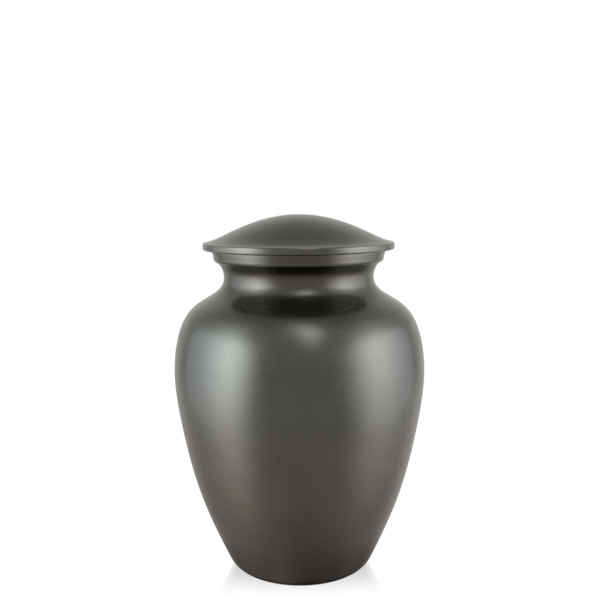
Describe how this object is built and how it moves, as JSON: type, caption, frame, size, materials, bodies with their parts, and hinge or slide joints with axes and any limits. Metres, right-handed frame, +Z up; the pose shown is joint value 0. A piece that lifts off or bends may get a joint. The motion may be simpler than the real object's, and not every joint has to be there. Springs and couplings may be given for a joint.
{
  "type": "cremation urn",
  "caption": "Round metal cremation urn with a full shoulder, a narrow neck, a flared lip and a low domed lift-off lid.",
  "frame": {"origin": "on the standing surface, under the middle of the foot", "axes": "+Z up along the axis that the urn is turned about; X and Y are alike, because the urn is round"},
  "size_m": [0.169, 0.169, 0.2418],
  "materials": {
    "body_pewter": "satin",
    "lid_pewter": "satin"
  },
  "bodies": {
    "root": {"urn_body": "body_pewter", "lid": "lid_pewter"}
  },
  "joints": []
}
